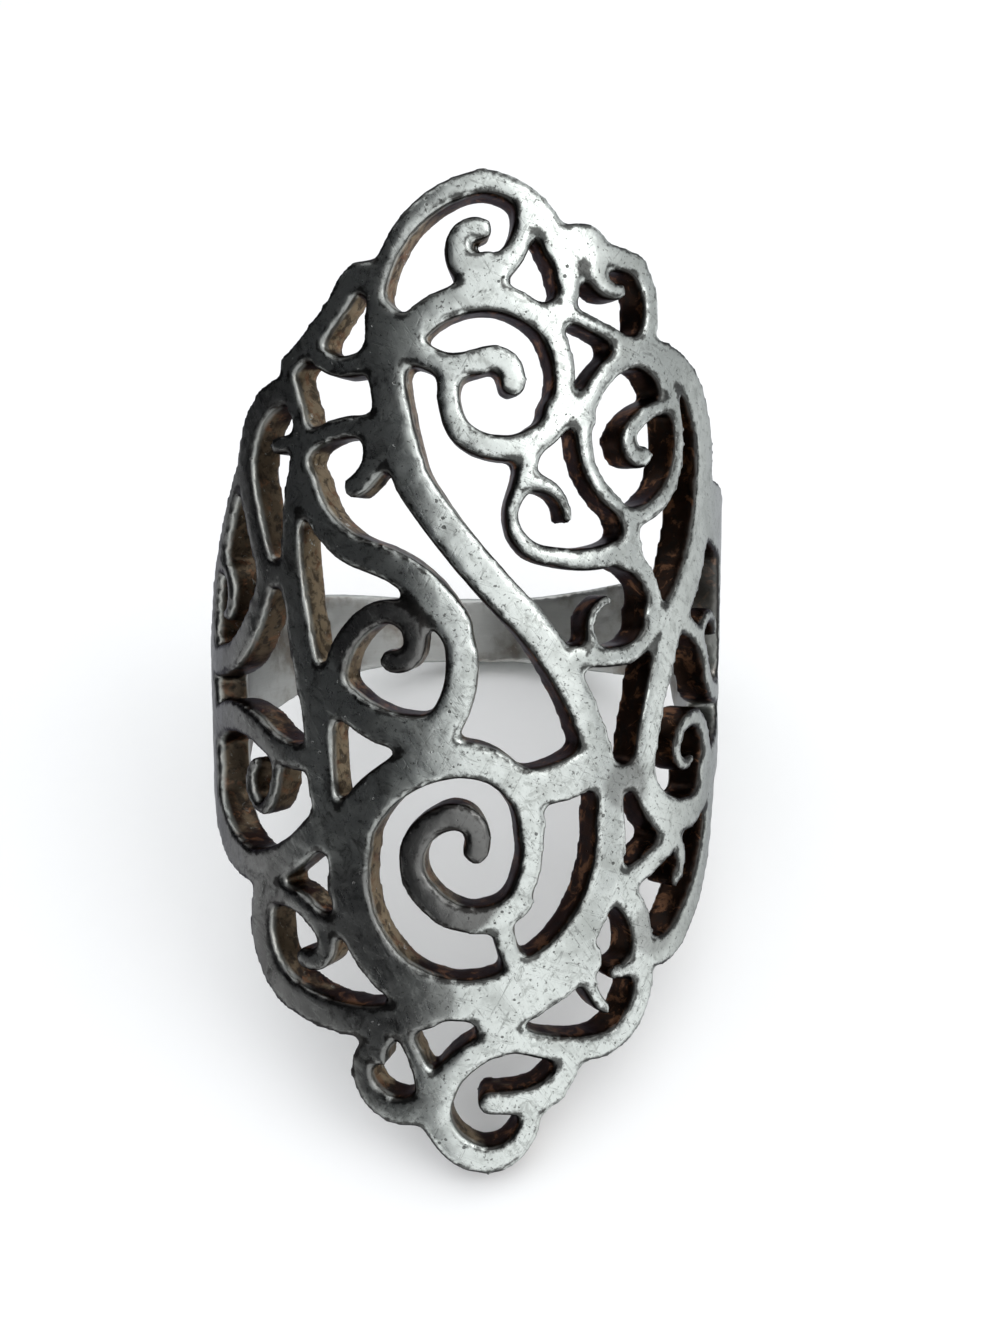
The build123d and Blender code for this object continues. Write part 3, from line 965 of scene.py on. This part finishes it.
@dataclass
class Casting:
    """The ring itself, one casting.

    Args:
        node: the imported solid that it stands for.
        line: the finger line.
        weld: how near points are joined, in millimetres.
        skin: size of the faces that the skin is rebuilt with, in millimetres.
        kept: share of those faces that are kept, so that the flats have fewer.
        rounding: smoothing passes, which wear the sawn edges round.
        pull: how far a pass pulls each point to its neighbours' middle.
        sway: how far the surface wanders, in millimetres.
        swells: the waves in the surface.
        seed: where in the noise the swells start.
        sharp: degrees between two faces that make a sawn edge.
        edge_depth: how far under the outside an edge still counts, in millimetres.
        spacing: distance between the points kept along the edges, in millimetres.
        rim_cap: the largest distance from an edge that is stored, in millimetres.
        seat: height over which the worn edges are let down to the floor, in millimetres.
    """

    node: str
    line: FingerLine
    weld: float = 0.0005
    skin: float = 0.145
    kept: float = 0.70
    rounding: int = 5
    pull: float = 0.5
    sway: float = 0.034
    swells: tuple[Swell, ...] = (
        Swell(pitch=0.45, share=0.45),
        Swell(pitch=1.3, share=0.35),
        Swell(pitch=2.8, share=0.45),
    )
    seed: tuple[float, float] = (7.0, 3.0)
    sharp: float = 40.0
    edge_depth: float = 0.2
    spacing: float = 0.12
    rim_cap: float = 2.0
    seat: float = 1.5

    def build(self) -> bpy.types.Object:
        """Makes the piece.

        Returns:
            The piece, riding on the root body in place of the solid.
        """
        solid = self._merged()
        edges = self._sawn_edges(solid)
        piece = self._new_skin(solid)
        solid.free()
        self._wear(piece)
        self._thin(piece)
        self._settle(piece)
        self._mark_rim(piece, edges)
        self._dress(piece)
        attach(piece, "root")
        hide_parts(self.node)
        return piece

    def _merged(self) -> bmesh.types.BMesh:
        """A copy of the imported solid, with its loose triangles joined.

        Returns:
            The copy.
        """
        made = bmesh.new()
        made.from_mesh(frame["nodes"][self.node].data)
        bmesh.ops.remove_doubles(made, verts=made.verts[:], dist=self.weld * MM)
        return made

    def _sawn_edges(self, solid: bmesh.types.BMesh) -> KDTree:
        """Points along the edges where the outside meets the walls.

        Args:
            solid: the merged copy.

        Returns:
            A search tree of the points.
        """
        points = []
        lowest = (OUTER_RADIUS - self.edge_depth) * MM
        for edge in solid.edges:
            if len(edge.link_faces) != 2 or degrees(edge.calc_face_angle(0.0)) < self.sharp:
                continue
            first, last = (v.co for v in edge.verts)
            if min(self.line.radius(first), self.line.radius(last)) < lowest:
                continue
            steps = max(1, round((last - first).length / (self.spacing * MM)))
            points += [first.lerp(last, (i + 0.5) / steps) for i in range(steps)]
        tree = KDTree(len(points))
        for index, point in enumerate(points):
            tree.insert(point, index)
        tree.balance()
        return tree

    def _new_skin(self, solid: bmesh.types.BMesh) -> bpy.types.Object:
        """Rebuilds the solid's surface with small even faces.

        Args:
            solid: the merged copy.

        Returns:
            An object with the new skin.
        """
        mesh = bpy.data.meshes.new("ring_casting")
        solid.to_mesh(mesh)
        piece = bpy.data.objects.new("ring_casting", mesh)
        bpy.context.scene.collection.objects.link(piece)
        rebuild = piece.modifiers.new("rebuild", "REMESH")
        rebuild.mode = "VOXEL"
        rebuild.voxel_size = self.skin * MM
        rebuild.use_smooth_shade = True
        self._apply(piece)
        return piece

    def _apply(self, piece: bpy.types.Object) -> None:
        """Turns what the piece's modifiers make into its own mesh.

        Args:
            piece: the ring piece.
        """
        before = piece.data
        seen = piece.evaluated_get(bpy.context.evaluated_depsgraph_get())
        made = bpy.data.meshes.new_from_object(seen)
        piece.modifiers.clear()
        piece.data = made
        bpy.data.meshes.remove(before)
        made.name = piece.name

    def _wear(self, piece: bpy.types.Object) -> None:
        """Rounds the edges and lets the flats wander, as on a hand-finished casting.

        Args:
            piece: the ring piece.
        """
        worn = bmesh.new()
        worn.from_mesh(piece.data)
        for _ in range(self.rounding):
            bmesh.ops.smooth_vert(
                worn, verts=worn.verts[:], factor=self.pull, use_axis_x=True, use_axis_y=True, use_axis_z=True
            )
        worn.normal_update()
        for vert in worn.verts:
            vert.co += vert.normal * (self._swell(vert.co / MM) * self.sway * MM)
        worn.to_mesh(piece.data)
        worn.free()

    def _swell(self, at: Vector) -> float:
        """How far the surface wanders at a point in millimetres, as a share of the sway."""
        return sum(wave(at * s.pitch + Vector((*self.seed, s.pitch))) * s.share for s in self.swells)

    def _thin(self, piece: bpy.types.Object) -> None:
        """Joins small faces where the skin is nearly flat.

        Args:
            piece: the ring piece.
        """
        fewer = piece.modifiers.new("fewer", "DECIMATE")
        fewer.ratio = self.kept
        self._apply(piece)
        for polygon in piece.data.polygons:
            polygon.use_smooth = True

    def _settle(self, piece: bpy.types.Object) -> None:
        """Keeps the piece in the solid's box and lets it down to the floor.

        Args:
            piece: the ring piece.
        """
        low, high = CAD_BOX
        points = piece.data.vertices
        for point in points:
            point.co = Vector(min(max(v, a), b) for v, a, b in zip(point.co, low, high))
        lowest = min(point.co.z for point in points)
        for point in points:
            point.co.z -= lowest * max(0.0, 1.0 - point.co.z / (self.seat * MM))

    def _mark_rim(self, piece: bpy.types.Object, edges: KDTree) -> None:
        """Stores each point's distance from the nearest sawn edge, in millimetres.

        Args:
            piece: the ring piece.
            edges: the points along the edges.
        """
        far = [min(edges.find(v.co)[2] / MM, self.rim_cap) for v in piece.data.vertices]
        rim = piece.data.attributes.new(RIM_NAME, "FLOAT", "POINT")
        rim.data.foreach_set("value", far)

    def _dress(self, piece: bpy.types.Object) -> None:
        """Gives the piece its finish."""
        piece.data.materials.clear()
        piece.data.materials.append(OldSilver().material("old_silver", self.line))


@dataclass(frozen=True)
class Card:
    """A bent card beside the camera, which one side of the shield mirrors.

    Args:
        name: its name.
        folds: degrees right of the shield's front at its edges and folds.
        colour: its colour.
    """

    name: str
    folds: tuple[float, ...]
    colour: Colour


@dataclass(frozen=True)
class Paper:
    """Plain card with a faint fibre in it.

    Args:
        fibre: the noise of the fibre.
        share: how strong the fibre is.
        shade: how dark it is beside the card.
    """

    fibre: Noise = Noise(pitch=0.8, layers=3.0, rough=0.55)
    share: float = 0.06
    shade: float = 0.8

    def material(self, name: str, colour: Colour, rough: float) -> bpy.types.Material:
        """Builds the node material.

        Args:
            name: the material's name.
            colour: its colour.
            rough: its roughness.

        Returns:
            The material.
        """
        made = bpy.data.materials.new(name)
        desk = NodeDesk(made)
        fibre = desk.grain(desk.in_mm(desk.node("TexCoord").outputs["Object"]), self.fibre)
        colour = desk.blend(desk.times(fibre, self.share), colour, tuple(c * self.shade for c in colour))
        shader = desk.node("BsdfPrincipled", {"Base Color": colour, "Roughness": rough})
        desk.node("OutputMaterial", {"Surface": shader.outputs[0]})
        return made


@dataclass
class Studio:
    """A plain pale floor, soft light and the camera.

    Args:
        line: the finger line, which the camera and the light are set by.
        distance: millimetres from the ring's centre to the camera, out of the shield.
        lift: millimetres that the camera is above the centre, along the finger.
        yaw: degrees that the camera looks right of the ring's middle.
        pitch: degrees that it looks down along the finger.
        focal: focal length in pixels of the image.
        image_height: height of the image, in pixels.
        sensor: height of the camera's sensor, in millimetres.
        sight: the nearest and farthest that the camera sees, in millimetres.
        floor_reach: half the width of the floor, in millimetres.
        floor_colour: its colour.
        floor_rough: its roughness.
        sky: the colour of the light from all round.
        daylight: its strength.
        cards: the cards beside the camera.
        card_reach: millimetres from the ring's centre to the cards.
        card_height: half the height of the cards along the finger, in millimetres.
        card_rough: their roughness.
        lamp_place: the lamp's place from the ring's centre: right, along and out, in millimetres.
        lamp_width: its width, in millimetres.
        lamp_power: its power, in watts.
    """

    line: FingerLine
    distance: float = 50.0
    lift: float = 4.1
    yaw: float = 1.617
    pitch: float = 5.69
    focal: float = 1187.0
    image_height: float = 1333.0
    sensor: float = 36.0
    sight: tuple[float, float] = (1.0, 20000.0)
    floor_reach: float = 1500.0
    floor_colour: Colour = (0.93, 0.93, 0.93)
    floor_rough: float = 0.9
    sky: Colour = (0.97, 0.985, 1.0)
    daylight: float = 1.12
    cards: tuple[Card, ...] = (
        Card("dark_card", folds=(-10.0, -50.0, -90.0, -130.0, -172.0), colour=(0.034, 0.035, 0.039)),
        Card("grey_card", folds=(50.0, 85.0, 125.0, 160.0), colour=(0.42, 0.425, 0.43)),
    )
    card_reach: float = 130.0
    card_height: float = 120.0
    card_rough: float = 1.0
    lamp_place: tuple[float, float, float] = (110.0, 60.0, 120.0)
    lamp_width: float = 120.0
    lamp_power: float = 0.06

    def build(self) -> None:
        """Makes the floor, the light and the camera."""
        self._floor()
        self._sky()
        for card in self.cards:
            self._card(card)
        self._key()
        self._camera()

    def _sheet(
        self, name: str, folds: list[tuple[Vector, Vector]], material: bpy.types.Material
    ) -> bpy.types.Object:
        """A sheet for the stage, flat between its folds.

        Args:
            name: the object's name.
            folds: the two ends of each fold, first and last edge included.
            material: its material.

        Returns:
            The object.
        """
        made = bmesh.new()
        rows = [(made.verts.new(low), made.verts.new(high)) for low, high in folds]
        for (low, high), (next_low, next_high) in zip(rows, rows[1:]):
            made.faces.new((low, next_low, next_high, high))
        mesh = bpy.data.meshes.new(name)
        made.to_mesh(mesh)
        made.free()
        mesh.materials.append(material)
        sheet = bpy.data.objects.new(name, mesh)
        bpy.context.scene.collection.objects.link(sheet)
        sheet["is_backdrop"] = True
        return sheet

    def _floor(self) -> None:
        """The pale table that the ring rests on."""
        reach = self.floor_reach * MM
        folds = [(Vector((x, -reach, 0.0)), Vector((x, reach, 0.0))) for x in (-reach, reach)]
        self._sheet("table_top", folds, Paper().material("pale_card", self.floor_colour, self.floor_rough))

    def _sky(self) -> None:
        """Even light from all round."""
        world = bpy.data.worlds.new("soft_room")
        world.use_nodes = True
        ground = world.node_tree.nodes["Background"]
        ground.inputs["Color"].default_value = (*self.sky, 1.0)
        ground.inputs["Strength"].default_value = self.daylight
        bpy.context.scene.world = world

    def _card(self, card: Card) -> None:
        """Stands a card beside the camera, where only the metal sees it.

        Args:
            card: the card.
        """
        folds = []
        for turn in card.folds:
            right = self.card_reach * sin(radians(turn))
            front = self.card_reach * cos(radians(turn))
            ends = (-self.card_height, self.card_height)
            folds.append(tuple(self.line.place(right, along, front) for along in ends))
        felt = Paper().material(card.name + "_felt", card.colour, self.card_rough)
        sheet = self._sheet(card.name, folds, felt)
        sheet.visible_camera = False
        sheet.visible_diffuse = False
        sheet.visible_shadow = False

    def _key(self) -> None:
        """A soft lamp over the right shoulder of the camera."""
        lamp = bpy.data.lights.new("soft_key", "AREA")
        lamp.shape = "DISK"
        lamp.size = self.lamp_width * MM
        lamp.energy = self.lamp_power
        made = bpy.data.objects.new("soft_key", lamp)
        bpy.context.scene.collection.objects.link(made)
        made.location = self.line.place(*self.lamp_place)
        made.rotation_mode = "QUATERNION"
        made.rotation_quaternion = (made.location - self.line.centre).to_track_quat("Z", "Y")

    def _camera(self) -> None:
        """The camera at the photograph's angle."""
        data = bpy.data.cameras.new("camera")
        data.sensor_fit = "VERTICAL"
        data.sensor_height = self.sensor
        data.lens = self.sensor * self.focal / self.image_height
        data.clip_start, data.clip_end = (limit * MM for limit in self.sight)
        camera = bpy.data.objects.new("camera", data)
        bpy.context.scene.collection.objects.link(camera)
        sy, cy = sin(radians(self.yaw)), cos(radians(self.yaw))
        sp, cp = sin(radians(self.pitch)), cos(radians(self.pitch))
        right, up, back = (cy, 0.0, sy), (sp * sy, cp, -sp * cy), (-cp * sy, sp, cp * cy)
        turn = self.line.axes() @ Matrix((right, up, back)).transposed()
        place = self.line.place(0.0, self.lift, self.distance)
        camera.matrix_world = Matrix.Translation(place) @ turn.to_4x4()
        bpy.context.scene.camera = camera


def main() -> None:
    """Builds the ring and the studio, and reports each piece."""
    logging.basicConfig(level=logging.INFO, format="%(message)s")
    line = FingerLine.from_record(frame["record"], "finger_bore")
    Studio(line).build()
    piece = Casting("filigree_ring", line).build()
    low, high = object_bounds()
    size = " x ".join(f"{(b - a) / MM:.2f}" for a, b in zip(low, high))
    log.info("%s: %d faces, %s mm", piece.name, len(piece.data.polygons), size)
    scene = bpy.context.scene
    scene.view_settings.view_transform = "Standard"
    scene.view_settings.look = "None"


if __name__ == "__main__":
    main()
